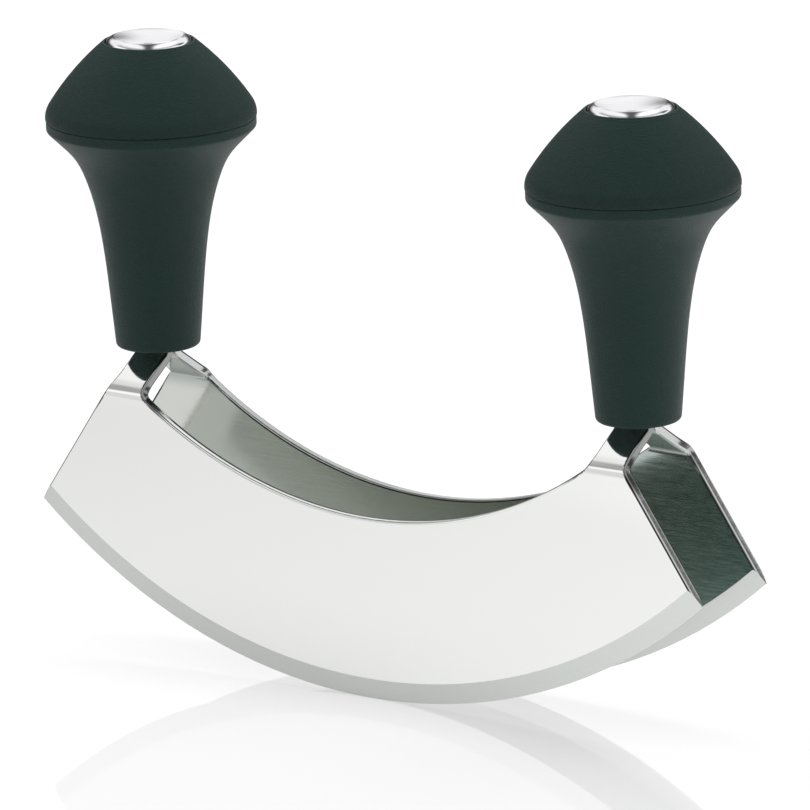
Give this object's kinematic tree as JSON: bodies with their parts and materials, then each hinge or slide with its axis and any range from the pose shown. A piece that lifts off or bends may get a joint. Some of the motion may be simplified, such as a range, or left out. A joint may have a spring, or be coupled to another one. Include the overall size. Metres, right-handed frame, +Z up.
{
  "type": "mezzaluna",
  "caption": "Rocking herb chopper: two parallel curved steel blades with necks bent inward, carried by a flared knob handle at each end.",
  "frame": {"origin": "on the surface the tool stands on, at the lowest point of the cutting edges, midway between the two blades and the two handles", "axes": "+X along the blades towards the right handle, +Y across the blades towards the rear blade, +Z up"},
  "size_m": [0.1958, 0.0502, 0.1494],
  "materials": {
    "blade_steel": "stainless sheet, outer faces mirror polished, inner faces brushed lengthwise, edges ground",
    "stem_plastic": "moulded dark green-black plastic, smooth matt",
    "dome_plastic": "moulded dark green-black plastic, fine spark-eroded grain",
    "cap_steel": "drawn stainless cap, polished",
    "fastener_steel": "plain stainless fasteners, hidden inside the handles"
  },
  "bodies": {
    "root": {"front_blade": "blade_steel", "rear_blade": "blade_steel", "left_handle_stem": "stem_plastic", "left_handle_dome": "dome_plastic", "left_tang_stud": "fastener_steel", "left_nut_washer": "fastener_steel", "left_lock_nut": "fastener_steel", "left_end_cap": "cap_steel", "right_handle_stem": "stem_plastic", "right_handle_dome": "dome_plastic", "right_tang_stud": "fastener_steel", "right_nut_washer": "fastener_steel", "right_lock_nut": "fastener_steel", "right_end_cap": "cap_steel"}
  },
  "joints": []
}
